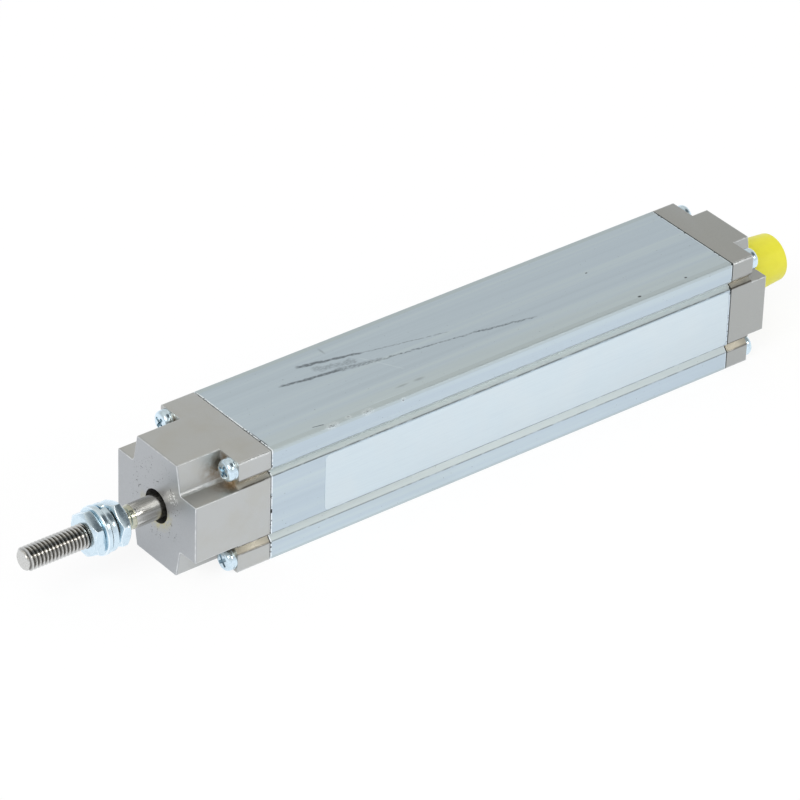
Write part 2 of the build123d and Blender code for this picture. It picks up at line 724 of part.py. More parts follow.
# Long circuit board in the slots of the extrusion, with holes for the header pins
with BuildPart() as circuit_board:
    board_width = 2 * (CAVITY_HALF + SLOT_DEPTH - BOARD_CLEARANCE)
    with BuildSketch(across(HOLDER_START)):
        with Locations((0, BOARD_MIDDLE)):
            Rectangle(board_width, BOARD_THICKNESS)
    extrude(amount=REAR_BOARD_START - HOLDER_START)
    add(header_pins.part, mode=Mode.SUBTRACT)
finish(circuit_board, "circuit_board")

# Small upright board behind the connector
with BuildPart() as rear_board:
    with BuildSketch(across(REAR_BOARD_START)):
        Rectangle(REAR_BOARD_SIZE, REAR_BOARD_SIZE)
        with Locations(*PIN_PLACES):
            Circle(PIN_DIAMETER / 2, mode=Mode.SUBTRACT)
    extrude(amount=BOARD_THICKNESS)
    add(header_pins.part, mode=Mode.SUBTRACT)
finish(rear_board, "rear_board")

# Header block in the corner between the two boards
with BuildPart() as board_header:
    with BuildSketch(across(REAR_BOARD_START - HEADER_SIZE)):
        with Locations((0, BOARD_TOP + HEADER_SIZE / 2)):
            Rectangle(PIN_COUNT * HEADER_PITCH, HEADER_SIZE)
    extrude(amount=HEADER_SIZE)
    add(header_pins.part, mode=Mode.SUBTRACT)
finish(board_header, "board_header")

# Chips under the long board: each has its place from the board's middle, its length and its width
CHIPS = ((-38.0, 10.0, 4.0), (-18.0, 7.0, 7.0), (2.0, 5.0, 4.0), (26.0, 10.0, 6.0))
BOARD_CENTRE = (HOLDER_START + REAR_BOARD_START) / 2
UNDERSIDE = Plane(origin=(BOARD_CENTRE, 0, HALF + BOARD_BOTTOM), x_dir=(1, 0, 0), z_dir=(0, 0, -1))
with BuildPart() as board_chips:
    for place, length, width in CHIPS:
        with BuildSketch(UNDERSIDE):
            with Locations((place, 0)):
                Rectangle(length, width)
        extrude(amount=CHIP_HEIGHT, taper=CHIP_DRAFT)
finish(board_chips, "board_chips")

# Capacitors in a row across the front end of the long board
with BuildPart() as board_capacitors:
    with BuildSketch(UNDERSIDE):
        with Locations((CAPACITOR_PLACE - (BOARD_CENTRE - HOLDER_START), 0)):
            with GridLocations(1, CAPACITOR_PITCH, 1, CAPACITOR_COUNT):
                Circle(CAPACITOR_DIAMETER / 2)
    extrude(amount=CAPACITOR_HEIGHT)
finish(board_capacitors, "board_capacitors")

# Connector shell: collar on its seat, barrel with a seal groove, and the M12 threaded end
with BuildPart() as connector_shell:
    groove_start = SEAT + SEAL_PLACE
    groove_end = groove_start + SEAL_WIDTH
    turned(
        [
            (SEAT - COLLAR_THICKNESS, CONNECTOR_BORE),
            (SEAT - COLLAR_THICKNESS, CONNECTOR_COLLAR),
            (SEAT, CONNECTOR_COLLAR),
            (SEAT, BARREL_RADIUS),
            (groove_start, BARREL_RADIUS),
            (groove_start, BARREL_RADIUS - SEAL_DEPTH),
            (groove_end, BARREL_RADIUS - SEAL_DEPTH),
            (groove_end, BARREL_RADIUS),
            (REAR_FACE, BARREL_RADIUS),
            (REAR_FACE, THREAD_OUTER),
            (CONNECTOR_END - THREAD_CHAMFER, THREAD_OUTER),
            (CONNECTOR_END, THREAD_OUTER - THREAD_CHAMFER),
            (CONNECTOR_END, CONNECTOR_BORE),
        ]
    )
finish(connector_shell, "connector_shell")

# Rubber seal in the barrel's groove
with BuildPart() as connector_seal:
    ring(
        groove_start,
        groove_end,
        BARREL_RADIUS - SEAL_DEPTH,
        BARREL_RADIUS + FIT_CLEARANCE,
        edge=SEAL_ROUND,
    )
finish(connector_seal, "connector_seal")

# Retaining ring behind the connector's collar
with BuildPart() as connector_clip:
    retaining_ring(SEAT - COLLAR_THICKNESS - CLIP_THICKNESS, CONNECTOR_COLLAR + CLIP_GROOVE)
finish(connector_clip, "connector_clip")

# Plastic insert with the keying rib that the plug's slot runs on
with BuildPart() as connector_insert:
    ring(SEAT - COLLAR_THICKNESS, INSERT_END, 0, CONNECTOR_BORE)
    with BuildSketch(across(INSERT_END)) as rib:
        with Locations((0, CONNECTOR_BORE)):
            Rectangle(KEY_WIDTH, 2 * KEY_HEIGHT)
        Circle(CONNECTOR_BORE, mode=Mode.INTERSECT)
    extrude(amount=PIN_REACH)
    add(connector_pins.part, mode=Mode.SUBTRACT)
finish(connector_insert, "connector_insert")

# Push-on dust cap of soft plastic, narrower towards its closed end
DUST_START = REAR_FACE + DUST_GAP
DUST_TIP = DUST_START + DUST_LENGTH


def dust_outside(x):
    """Outer radius of the dust cap at x."""
    return DUST_MOUTH - DUST_TAPER * (x - DUST_START) / DUST_LENGTH


with BuildPart() as dust_cap:
    shoulder = CONNECTOR_END + DUST_SHOULDER
    inner_end = DUST_TIP - DUST_WALL
    turned([(DUST_START, 0), (DUST_START, DUST_MOUTH), (DUST_TIP, dust_outside(DUST_TIP)), (DUST_TIP, 0)])
    fillet(dust_cap.edges().sort_by(Axis.X)[-1], DUST_ROUND)
    turned(
        [
            (DUST_START, 0),
            (DUST_START, DUST_INNER),
            (shoulder, DUST_INNER),
            (shoulder, dust_outside(shoulder) - DUST_WALL),
            (inner_end, dust_outside(inner_end) - DUST_WALL),
            (inner_end, 0),
        ],
        mode=Mode.SUBTRACT,
    )
finish(dust_cap, "dust_cap")

# Bare type label on the near side, between the two grooves
with BuildPart() as type_label:
    label_length = PROFILE_LENGTH - LABEL_FRONT - LABEL_REAR
    label_height = 2 * (GROOVE_LEVEL - GROOVE_INNER - LABEL_EDGE)
    label_middle = FRONT_END + LABEL_FRONT + label_length / 2
    near_side = Plane(origin=(label_middle, -HALF, HALF), x_dir=(1, 0, 0), z_dir=(0, -1, 0))
    with BuildSketch(near_side):
        RectangleRounded(label_length, label_height, LABEL_ROUND)
    extrude(amount=LABEL_THICKNESS)
finish(type_label, "type_label")
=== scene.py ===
"""Looks of the inductive linear position sensor: its finished surfaces, rod thread and connector,
then the white table, the light and the camera. Lengths are in metres where no comment says
otherwise, and places are in the housing's own frame."""
from math import atan2, pi, radians

import bpy
from mathutils import Euler, Matrix, Vector


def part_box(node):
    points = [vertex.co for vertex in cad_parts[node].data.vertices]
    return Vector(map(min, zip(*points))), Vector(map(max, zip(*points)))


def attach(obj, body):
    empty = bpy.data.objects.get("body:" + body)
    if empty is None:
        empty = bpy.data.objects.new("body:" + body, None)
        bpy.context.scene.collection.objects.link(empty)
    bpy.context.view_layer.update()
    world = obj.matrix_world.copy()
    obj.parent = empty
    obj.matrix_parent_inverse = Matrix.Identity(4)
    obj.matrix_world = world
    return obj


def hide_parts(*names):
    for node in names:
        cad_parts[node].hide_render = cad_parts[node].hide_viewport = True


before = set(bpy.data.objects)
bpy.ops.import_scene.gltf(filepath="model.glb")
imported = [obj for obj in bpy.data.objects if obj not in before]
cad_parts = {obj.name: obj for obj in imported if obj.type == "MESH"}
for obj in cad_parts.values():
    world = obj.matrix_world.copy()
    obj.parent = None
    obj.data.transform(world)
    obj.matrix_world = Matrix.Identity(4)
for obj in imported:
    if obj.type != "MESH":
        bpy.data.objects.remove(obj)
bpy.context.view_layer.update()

# Housing: an aluminium extrusion, sawn to length, deburred at both ends and anodised in its own
# silver colour. The die leaves fine lines along it, and handling has left scuffs on the top.
MM = 0.001
HOUSING_LOW, HOUSING_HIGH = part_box("housing_profile")
HOUSING_SIDE = HOUSING_HIGH.y
HOUSING_END = HOUSING_HIGH.x
ROD_LEVEL = HOUSING_HIGH.z / 2
DEBURRED_EDGE = 0.2 * MM

# Clamp grooves: each side has two of them, 1.25 mm deep. Their mouth runs from the lip to the edge,
# and their deepest line lies between, all measured from the middle of the side.
GROOVE_LIP = 7.85 * MM
GROOVE_DEEP = 8.65 * MM
GROOVE_EDGE = 10.1 * MM
GROOVE_DEPTH = 1.25 * MM


def paint(red, green, blue):
    """Colour for a shader from the 0 to 255 values that a colour chart gives."""
    def linear(value):
        share = value / 255
        return share / 12.92 if share < 0.04045 else ((share + 0.055) / 1.055) ** 2.4
    return (linear(red), linear(green), linear(blue), 1.0)


class Finish:
    """Material of one kind of surface, built from patterns that lie in the piece itself."""

    def __init__(self, name, colour, roughness, metallic=0.0):
        self.material = bpy.data.materials.new(name)
        self.material.use_nodes = True
        self.nodes = self.material.node_tree.nodes
        self.links = self.material.node_tree.links
        self.shader = self.nodes["Principled BSDF"]
        self.shader.inputs["Base Color"].default_value = colour
        self.shader.inputs["Roughness"].default_value = roughness
        self.shader.inputs["Metallic"].default_value = metallic
        self.place = self.nodes.new("ShaderNodeTexCoord").outputs["Object"]

    def mapped(self, centre=(0, 0, 0), size=(1, 1, 1), turn=(0, 0, 0)):
        """Coordinates that run from a centre, in steps of the given size."""
        mapping = self.nodes.new("ShaderNodeMapping")
        mapping.vector_type = "TEXTURE"
        mapping.inputs["Location"].default_value = centre
        mapping.inputs["Rotation"].default_value = turn
        mapping.inputs["Scale"].default_value = size
        self.links.new(self.place, mapping.inputs["Vector"])
        return mapping.outputs["Vector"]

    def grain(self, size, detail=3.0):
        """Cloudy pattern; size is that of its cells along X, Y and Z."""
        noise = self.nodes.new("ShaderNodeTexNoise")
        noise.inputs["Scale"].default_value = 1.0
        noise.inputs["Detail"].default_value = detail
        noise.inputs["Roughness"].default_value = 0.55
        self.links.new(self.mapped(size=size), noise.inputs["Vector"])
        return noise.outputs["Fac"]

    def patch(self, centre, size):
        """Soft spot, 1 at its centre and 0 from its edge outwards."""
        spot = self.nodes.new("ShaderNodeTexGradient")
        spot.gradient_type = "SPHERICAL"
        self.links.new(self.mapped(centre, size), spot.inputs["Vector"])
        return spot.outputs["Fac"]

    def stroke(self, start, end, width, taper=0.0):
        """Mark from start to end on the top, 1 inside it, wavering, soft at its sides and tapered."""
        run = end - start
        local = self.nodes.new("ShaderNodeSeparateXYZ")
        turn = (0, 0, atan2(run.y, run.x))
        frame_of_mark = self.mapped((start + end) / 2, (run.length / 2, width / 2, MM), turn)
        self.links.new(frame_of_mark, local.inputs["Vector"])
        length, across, depth = local.outputs
        sway = self.level(self.grain((2.5 * MM,) * 3, detail=2), 0.3, 0.7, -0.5, 0.5)
        from_line = self.off(self.combine(across, sway, "ADD"))
        narrower = self.combine(self.combine(length, taper), from_line, "ADD")
        inside = self.combine(self.level(self.off(length), 1.0, 0.85), self.level(narrower, 1.0, 0.4))
        return self.combine(inside, self.level(self.off(depth), 1.0, 0.9))

    def along(self, axis):
        """Place along X, Y or Z."""
        split = self.nodes.new("ShaderNodeSeparateXYZ")
        self.links.new(self.place, split.inputs["Vector"])
        return split.outputs[axis]

    def off(self, value, middle=0.0):
        """How far a value lies off a middle one, to either side."""
        return self.combine(self.combine(value, middle, "SUBTRACT"), 0, "ABSOLUTE")

    def apart(self, axis, middle=0.0):
        """Distance along X, Y or Z from a middle plane."""
        return self.off(self.along(axis), middle)

    def from_axis(self):
        """Distance from the rod's axis: X is stretched until it counts for nothing."""
        length = self.nodes.new("ShaderNodeVectorMath")
        length.operation = "LENGTH"
        across = self.mapped(centre=(0, 0, ROD_LEVEL), size=(1e6, 1, 1))
        self.links.new(across, length.inputs[0])
        return length.outputs["Value"]

    def marked(self, name):
        """1 on the faces of the piece that carry the mark and 0 elsewhere."""
        mark = self.nodes.new("ShaderNodeAttribute")
        mark.attribute_name = name
        return mark.outputs["Fac"]

    def level(self, value, low, high, bottom=0.0, top=1.0):
        """The value stretched so that low becomes bottom and high becomes top."""
        step = self.nodes.new("ShaderNodeMapRange")
        step.inputs["From Min"].default_value = low
        step.inputs["From Max"].default_value = high
        step.inputs["To Min"].default_value = bottom
        step.inputs["To Max"].default_value = top
        self.links.new(value, step.inputs["Value"])
        return step.outputs["Result"]

    def combine(self, first, second, operation="MULTIPLY"):
        """Two values multiplied, added or compared."""
        node = self.nodes.new("ShaderNodeMath")
        node.operation = operation
        for socket, value in zip(node.inputs, (first, second)):
            if isinstance(value, (int, float)):
                socket.default_value = value
            else:
                self.links.new(value, socket)
        return node.outputs["Value"]

    def tint(self, amount, colour):
        """Blends a colour over what the surface has so far."""
        base = self.shader.inputs["Base Color"]
        mix = self.nodes.new("ShaderNodeMix")
        mix.data_type = "RGBA"
        below, above = mix.inputs[6], mix.inputs[7]
        above.default_value = colour
        if base.is_linked:
            self.links.new(base.links[0].from_socket, below)
        else:
            below.default_value = base.default_value
        self.links.new(amount, mix.inputs["Factor"])
        self.links.new(mix.outputs[2], base)

    def gloss(self, value, low, high):
        """Roughness from low to high that follows a pattern."""
        self.links.new(self.level(value, 0.3, 0.7, low, high), self.shader.inputs["Roughness"])

    def relief(self, height, depth):
        """Bump of the given depth in metres, on top of the bumps so far."""
        bump = self.nodes.new("ShaderNodeBump")
        bump.inputs["Strength"].default_value = 1.0
        bump.inputs["Distance"].default_value = depth
        normal = self.shader.inputs["Normal"]
        if normal.is_linked:
            self.links.new(normal.links[0].from_socket, bump.inputs["Normal"])
        self.links.new(height, bump.inputs["Height"])
        self.links.new(bump.outputs["Normal"], normal)


def painted_groove_shading(finish, wall, lip, hollow, line=0.2 * MM):
    """Painted reflection and shade in the grooves: dull wall, dark line at each lip, dim far wall."""
    reach = finish.apart("Y")
    rise = finish.apart("Z", ROD_LEVEL)
    floor = HOUSING_SIDE - GROOVE_DEPTH
    below_side = finish.level(reach, HOUSING_SIDE - 0.05 * MM, HOUSING_SIDE - 0.15 * MM)
    above_root = finish.level(reach, floor - 0.15 * MM, floor - 0.05 * MM)
    in_mouth = finish.combine(
        finish.level(rise, GROOVE_LIP - 0.3 * MM, GROOVE_LIP),
        finish.level(rise, GROOVE_EDGE + 0.1 * MM, GROOVE_EDGE),
    )
    in_groove = finish.combine(finish.combine(below_side, above_root), in_mouth)
    # Painted reflection: the groove wall is tinted a mottled, dull colour.
    wall_mottle = finish.level(finish.grain((2 * MM, 0.3 * MM, 0.3 * MM)), 0.35, 0.7, 0.5, 0.9)
    finish.tint(finish.combine(in_groove, wall_mottle), wall)
    # Painted shade on the wall beyond the groove's deepest line.
    inner = finish.level(rise, GROOVE_DEEP - 0.1 * MM, GROOVE_DEEP + 0.1 * MM, 0, 0.7)
    finish.tint(finish.combine(in_groove, inner), hollow)
    at_side = finish.level(reach, HOUSING_SIDE - 0.4 * MM, HOUSING_SIDE - 0.2 * MM)
    gaps = finish.level(finish.grain((3 * MM, 0.8 * MM, 0.8 * MM)), 0.36, 0.5, 0.25, 1)
    # Painted shade: a dark, broken line along each lip.
    for edge, strength in ((GROOVE_LIP, 0.8), (GROOVE_EDGE, 0.6)):
        on_edge = finish.combine(finish.level(finish.off(rise, edge), line, line / 4, 0, strength), at_side)
        finish.tint(finish.combine(on_edge, gaps), lip)


def on_top(x, y, below=0.0):
    """Place of a mark on the top or a little below it, in metres, from millimetres."""
    return Vector((x * MM, y * MM, HOUSING_HIGH.z - below * MM))


# Marks on the top, in millimetres. A scuff has its two ends, width and taper, then how broken and how
# strong it is; a scratch has its ends and width; the other marks have a place and a size.
SCUFFS = (
    ((-44.0, 9.3), (-27.0, 5.5), 1.15, 0.2, 0.42, 0.8),
    ((-29.0, 5.8), (-5.0, 0.8), 0.5, 0.1, 0.52, 0.55),
    ((-52.0, 5.0), (-35.5, 2.6), 1.2, -0.2, 0.42, 0.8),
    ((-41.5, 6.3), (-30.0, 3.6), 2.6, 0.0, 0.5, 0.4),
    ((-37.0, 2.9), (-22.0, 0.1), 1.7, 0.3, 0.48, 0.55),
    ((-24.0, 0.5), (1.5, -3.2), 0.7, 0.1, 0.5, 0.7),
    ((-1.0, -2.7), (16.0, -6.0), 0.9, 0.2, 0.48, 0.7),
    ((-55.6, -12.8), (-52.6, -13.4), 0.35, 0.0, 0.2, 0.9),
    ((-68.2, -6.5), (-68.2, -12.8), 0.6, 0.0, 0.4, 1.0),
)
SCRATCHES = (
    ((-29.5, 4.5), (-23.3, -5.8), 0.4),
    ((-38.3, -13.0), (-28.8, -13.4), 0.25),
)
NICKS = (
    ((-41.2, -15), (2.2, 1.5, 1.3)),
    ((-51.2, -15), (2.6, 1.7, 1.1)),
    ((-46.3, -14.1), (1.1, 0.9, 1.0)),
    ((-31.0, -15, 0.7), (0.9, 0.6, 0.8)),
)
SMUDGES = (
    ((-23.4, -11.0), (2.2, 0.7, 1)),
    ((-28.3, -10.9), (2.6, 0.5, 1)),
    ((-34.6, 11.4), (0.5, 2.0, 1)),
)
SPECKS = (
    ((41.0, -13.2), 0.42),
    ((55.4, -13.1), 0.34),
    ((37.4, 2.2), 0.28),
)

# Painted reflection on the long edges, this far onto the top and bottom and this far onto the sides.
EDGE_REFLECTION_ON_TOP = 1.7 * MM
EDGE_REFLECTION_ON_SIDE = 0.95 * MM


def anodised_aluminium():
    """Silver anodised extrusion: die lines, painted reflections along the long edges, painted shading in
    the grooves, scuffs and nicks.
    """
    finish = Finish("anodised_aluminium", paint(196, 207, 214), 0.58, metallic=1.0)
    lines = finish.grain((60 * MM, 0.2 * MM, 0.2 * MM), detail=4)
    bands = finish.grain((160 * MM, 2.2 * MM, 2.2 * MM), detail=2)
    finish.tint(finish.level(lines, 0.52, 0.75, 0, 0.3), paint(214, 223, 228))
    finish.tint(finish.level(lines, 0.48, 0.25, 0, 0.3), paint(168, 178, 184))
    finish.tint(finish.level(bands, 0.5, 0.7, 0, 0.6), paint(206, 216, 217))
    finish.tint(finish.level(bands, 0.46, 0.3, 0, 0.35), paint(184, 195, 202))
    finish.gloss(lines, 0.52, 0.64)
    from_side = finish.combine(HOUSING_SIDE, finish.apart("Y"), "SUBTRACT")
    from_top = finish.combine(ROD_LEVEL, finish.apart("Z", ROD_LEVEL), "SUBTRACT")
    # Painted reflection: the top is tinted olive-white along its near edge.
    at_top = finish.level(from_top, 0.3 * MM, 0.1 * MM)
    near_edge_reflection = finish.level(finish.along("Y"), -9.0 * MM, -10.6 * MM, 0, 0.35)
    finish.tint(finish.combine(at_top, near_edge_reflection), paint(200, 208, 205))
    side_share = finish.combine(from_side, EDGE_REFLECTION_ON_TOP, "DIVIDE")
    corner = finish.combine(side_share, finish.combine(from_top, EDGE_REFLECTION_ON_SIDE, "DIVIDE"), "ADD")
    # Painted reflection: the long edges are tinted beige-grey.
    finish.tint(finish.level(corner, 1.02, 0.9, 0, 0.7), paint(191, 200, 200))
    # Painted reflection and shade in the housing's clamp grooves.
    painted_groove_shading(finish, paint(217, 223, 220), paint(112, 118, 118), paint(206, 213, 212))
    crumbs = finish.grain((0.9 * MM, 0.22 * MM, 1.0), detail=5)
    for start, end, width, taper, broken, strength in SCUFFS:
        track = finish.stroke(on_top(*start), on_top(*end), width * MM, taper)
        rubbed = finish.level(crumbs, broken - 0.1, broken + 0.06, 0.05, 1)
        finish.tint(finish.combine(finish.combine(track, rubbed), strength), paint(98, 105, 111))
    for start, end, width in SCRATCHES:
        track = finish.stroke(on_top(*start), on_top(*end), width * MM)
        finish.tint(finish.combine(track, 0.35), paint(222, 230, 232))
    for place, size in NICKS:
        dent = finish.patch(on_top(*place), Vector(size) * MM)
        chips = finish.level(finish.grain((0.7 * MM, 0.25 * MM, 0.25 * MM), detail=4), 0.42, 0.6)
        torn = finish.combine(finish.level(dent, 0.0, 0.5), chips)
        finish.tint(finish.combine(torn, 0.85), paint(226, 232, 234))
        finish.tint(finish.level(finish.combine(dent, chips), 0.45, 0.6, 0, 0.7), paint(96, 100, 104))
    for place, size in SMUDGES:
        smudge = finish.patch(on_top(*place), Vector(size) * MM)
        finish.tint(finish.level(smudge, 0.1, 0.8, 0, 0.35), paint(120, 126, 130))
    for place, size in SPECKS:
        spot = finish.patch(on_top(*place), Vector((size * 1.6, size, size)) * MM)
        finish.tint(finish.level(spot, 0.1, 0.5, 0, 0.9), paint(58, 60, 62))
    dots = finish.grain((0.45 * MM, 0.4 * MM, 0.45 * MM), detail=1)
    finish.tint(finish.level(dots, 0.77, 0.8, 0, 0.6), paint(96, 100, 104))
    # Sawn ends: a broken rim of bare deburred metal, brightened further by a painted highlight that is
    # strongest at the front end.
    at_cut = finish.level(finish.apart("X"), HOUSING_END - 0.32 * MM, HOUSING_END - 0.2 * MM)
    burr = finish.level(finish.grain((0.7 * MM,) * 3), 0.34, 0.46)
    end_highlight = finish.level(finish.along("X"), 0, MM, 1, 0.35)
    finish.tint(finish.combine(finish.combine(at_cut, burr), end_highlight), paint(246, 250, 252))
    black = finish.level(finish.grain((1.6 * MM, 0.9 * MM, 0.9 * MM), detail=4), 0.58, 0.62)
    finish.tint(finish.combine(at_cut, black), paint(48, 48, 46))
    return finish.material


def softened(node, edge, rings=2):
    """Copy of a solid whose sharp edges are broken, as tumbling or a deburring wheel leaves them.

    The narrow faces of the broken edges carry a mark, which finishes read for wear and a painted highlight.
    """
    piece = bpy.data.objects.new(f"{node}_finished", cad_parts[node].data.copy())
    bpy.context.scene.collection.objects.link(piece)
    bpy.ops.object.select_all(action="DESELECT")
    piece.select_set(True)
    bpy.context.view_layer.objects.active = piece
    bpy.ops.mesh.customdata_custom_splitnormals_clear()
    bpy.ops.object.mode_set(mode="EDIT")
    bpy.ops.mesh.select_all(action="SELECT")
    bpy.ops.mesh.remove_doubles(threshold=0.001 * MM)
    bpy.ops.mesh.dissolve_limited(angle_limit=radians(0.5))
    bpy.ops.object.mode_set(mode="OBJECT")
    bpy.ops.object.modifier_add(type="BEVEL")
    bevel = piece.modifiers[-1]
    bevel.width = edge
    bevel.segments = rings
    bevel.limit_method = "ANGLE"
    bevel.angle_limit = radians(32)
    bpy.ops.object.modifier_apply(modifier=bevel.name)
    bpy.ops.object.shade_smooth_by_angle(angle=radians(30))
    wear_and_sheen = piece.data.attributes.new("worn_edge_and_sheen", "FLOAT", "FACE")
    for face in piece.data.polygons:
        corners = [piece.data.vertices[index].co for index in face.vertices]
        around = sum((a - b).length for a, b in zip(corners, corners[1:] + corners[:1]))
        wear_and_sheen.data[face.index].value = 1.0 if 2 * face.area < edge * around else 0.0
    return piece


def fit(piece, node, finish, body="housing"):
    """Gives a finished piece its material and sets it in the place of its solid."""
    piece.data.materials.clear()
    piece.data.materials.append(finish)
    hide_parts(node)
    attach(piece, body)


def cover(node, finish):
    """Gives a solid that is already right its material."""
    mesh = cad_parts[node].data
    mesh.materials.clear()
    mesh.materials.append(finish)


housing = softened("housing_profile", DEBURRED_EDGE)
fit(housing, "housing_profile", anodised_aluminium())


# Gaskets: black rubber sheet, punched to the section and squeezed between the housing and each cap.
# Only a dark line of them shows. The rod's wiper, the buffers and the connector's seal are moulded.
def black_rubber():
    """Matt black rubber with a fine moulded grain."""
    finish = Finish("black_rubber", paint(38, 38, 40), 0.75)
    grain = finish.grain((0.2 * MM,) * 3)
    finish.tint(finish.level(grain, 0.5, 0.8, 0, 0.4), paint(62, 62, 64))
    finish.relief(grain, 0.01 * MM)
    return finish.material


RUBBER = black_rubber()
for node in ("front_gasket", "rear_gasket", "rod_wiper", "front_buffer", "rear_buffer", "connector_seal"):
    cover(node, RUBBER)


# End caps: die-cast and nickel-plated, so they are warmer and a little duller than the housing.
# The casting shows a fine skin, pits round the rod's hole and a smear of grease below it.
ROD_HOLE = Vector((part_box("front_cap")[0].x, 0, ROD_LEVEL))
CAST_EDGE = 0.2 * MM
LOCK_WASHER_RADIUS = 2.75 * MM
SCREW_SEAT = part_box("front_cap_washers")[1].x
SCREW_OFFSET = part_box("front_cap_washers")[1].y - LOCK_WASHER_RADIUS
NEAR_SEAT = Vector((SCREW_SEAT - 0.5 * MM, -SCREW_OFFSET, ROD_LEVEL + SCREW_OFFSET - 3 * MM))
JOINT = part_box("rear_cap")[0].x


def cast_metal():
    """Plated casting: pits and grease round the rod; painted edge highlights, shade and a warm reflection.
    """
    finish = Finish("cast_metal", paint(189, 189, 186), 0.4, metallic=1.0)
    skin = finish.grain((0.35 * MM,) * 3, detail=4)
    clouds = finish.grain((6 * MM,) * 3)
    finish.tint(finish.level(clouds, 0.42, 0.7, 0, 0.45), paint(184, 181, 172))
    finish.tint(finish.level(skin, 0.58, 0.8, 0, 0.3), paint(208, 208, 206))
    finish.gloss(skin, 0.34, 0.48)
    finish.relief(skin, 0.012 * MM)
    on_face = finish.level(finish.along("X"), ROD_HOLE.x + 0.5 * MM, ROD_HOLE.x + 0.3 * MM)
    # Painted shade: the front cap's front face is tinted darker.
    finish.tint(finish.combine(on_face, 0.85), paint(170, 171, 172))
    # Painted shade: the whole rear cap is tinted darker.
    shaded_rear = finish.level(finish.along("X"), 0, MM)
    finish.tint(finish.combine(shaded_rear, 0.85), paint(166, 166, 162))
    cloudy = finish.level(finish.grain((1.1 * MM,) * 3, detail=4), 0.3, 0.6)
    # Painted warm reflection on the pocket wall below the near upper screw.
    warm_reflection = finish.patch(NEAR_SEAT, (2.2 * MM, 3 * MM, 3 * MM))
    finish.tint(finish.level(warm_reflection, 0.1, 0.6, 0, 0.65), paint(226, 200, 164))
    inside = finish.combine(
        finish.level(finish.apart("Y"), HOUSING_SIDE - 0.1 * MM, HOUSING_SIDE - 0.4 * MM),
        finish.level(finish.apart("Z", ROD_LEVEL), HOUSING_SIDE - 0.1 * MM, HOUSING_SIDE - 0.4 * MM),
    )
    # Painted shade: mottled brown darkening inside the pockets round each screw.
    for side in (-1, 1):
        for rise in (-1, 1):
            seat = Vector((SCREW_SEAT, side * SCREW_OFFSET, ROD_LEVEL + rise * SCREW_OFFSET))
            pocket_shade = finish.patch(seat - Vector((0, side, rise)) * MM, (9 * MM, 6 * MM, 6 * MM))
            shaded_pocket = finish.combine(finish.level(pocket_shade, 0.1, 0.55, 0, 0.8), finish.combine(cloudy, inside))
            finish.tint(shaded_pocket, paint(132, 108, 76))
    from_joint = finish.combine(finish.apart("X"), JOINT, "SUBTRACT")
    crust = finish.level(finish.grain((1.4 * MM,) * 3, detail=4), 0.5, 0.58)
    crust = finish.combine(crust, finish.level(finish.along("X"), 0, MM, 0.85, 0.3))
    finish.tint(finish.combine(finish.level(from_joint, 0.3 * MM, 0.2 * MM), crust), paint(52, 50, 46))
    around = finish.patch(ROD_HOLE + Vector((0, 0, 2)) * MM, (1.5 * MM, 11 * MM, 12 * MM))
    pits = finish.level(finish.grain((0.5 * MM, 0.4 * MM, 0.55 * MM), detail=2), 0.63, 0.67)
    clusters = finish.level(finish.grain((2.2 * MM,) * 3, detail=2), 0.42, 0.56)
    pitted = finish.combine(clusters, finish.level(around, 0.0, 0.2, 0, 0.95))
    finish.tint(finish.combine(pits, pitted), paint(54, 52, 46))
    ring = finish.level(finish.from_axis(), 6.6 * MM, 4.7 * MM)
    below = finish.level(finish.along("Z"), ROD_LEVEL + 2 * MM, ROD_LEVEL - 1 * MM)
    drops = finish.level(finish.grain((0.9 * MM,) * 3), 0.38, 0.6)
    smear = finish.combine(finish.combine(finish.combine(ring, below), drops), on_face)
    finish.tint(finish.combine(smear, 0.7), paint(186, 176, 120))
    glint = finish.patch(ROD_HOLE + Vector((0, -6.2, 5.4)) * MM, (1.5 * MM, 2.6 * MM, 2.4 * MM))
    sparks = finish.level(finish.grain((0.4 * MM,) * 3, detail=2), 0.52, 0.6)
    finish.tint(finish.combine(finish.level(glint, 0.05, 0.4), sparks), paint(236, 238, 238))
    # Broken edges: rubbed bright, and brightened further by a painted highlight.
    rubbed = finish.level(finish.grain((1.5 * MM,) * 3), 0.3, 0.65, 0.2, 0.75)
    finish.tint(finish.combine(finish.marked("worn_edge_and_sheen"), rubbed), paint(226, 227, 225))
    # Painted reflection and shade in the caps' clamp grooves.
    painted_groove_shading(finish, paint(184, 179, 166), paint(72, 64, 54), paint(162, 155, 138), line=0.34 * MM)
    return finish.material


CAST_METAL = cast_metal()
for node in ("front_cap", "rear_cap"):
    fit(softened(node, CAST_EDGE, rings=3), node, CAST_METAL)


# Cap screws and lock washers: M3 pan heads with a cross recess, cold-headed steel with bright zinc
# plating that looks a little blue.
def bright_zinc():
    """Zinc plating over turned or headed steel, bright with a bluish cast."""
    finish = Finish("bright_zinc", paint(208, 224, 232), 0.2, metallic=1.0)
    clouds = finish.grain((1.2 * MM,) * 3)
    finish.tint(finish.level(clouds, 0.5, 0.72, 0, 0.35), paint(180, 196, 206))
    rubs = finish.grain((0.25 * MM, 0.9 * MM, 0.9 * MM))
    finish.tint(finish.level(rubs, 0.56, 0.7, 0, 0.4), paint(226, 236, 240))
    finish.gloss(clouds, 0.14, 0.26)
    finish.relief(finish.grain((0.2 * MM,) * 3, detail=2), 0.0015 * MM)
    # Painted highlight, with some wear, on the broken edges of the screws, washers and nuts.
    finish.tint(finish.combine(finish.marked("worn_edge_and_sheen"), 0.7), paint(240, 247, 250))
    # Painted shade in the cross recesses.
    finish.tint(finish.combine(finish.marked("recess"), 0.25), paint(120, 132, 140))
    return finish.material


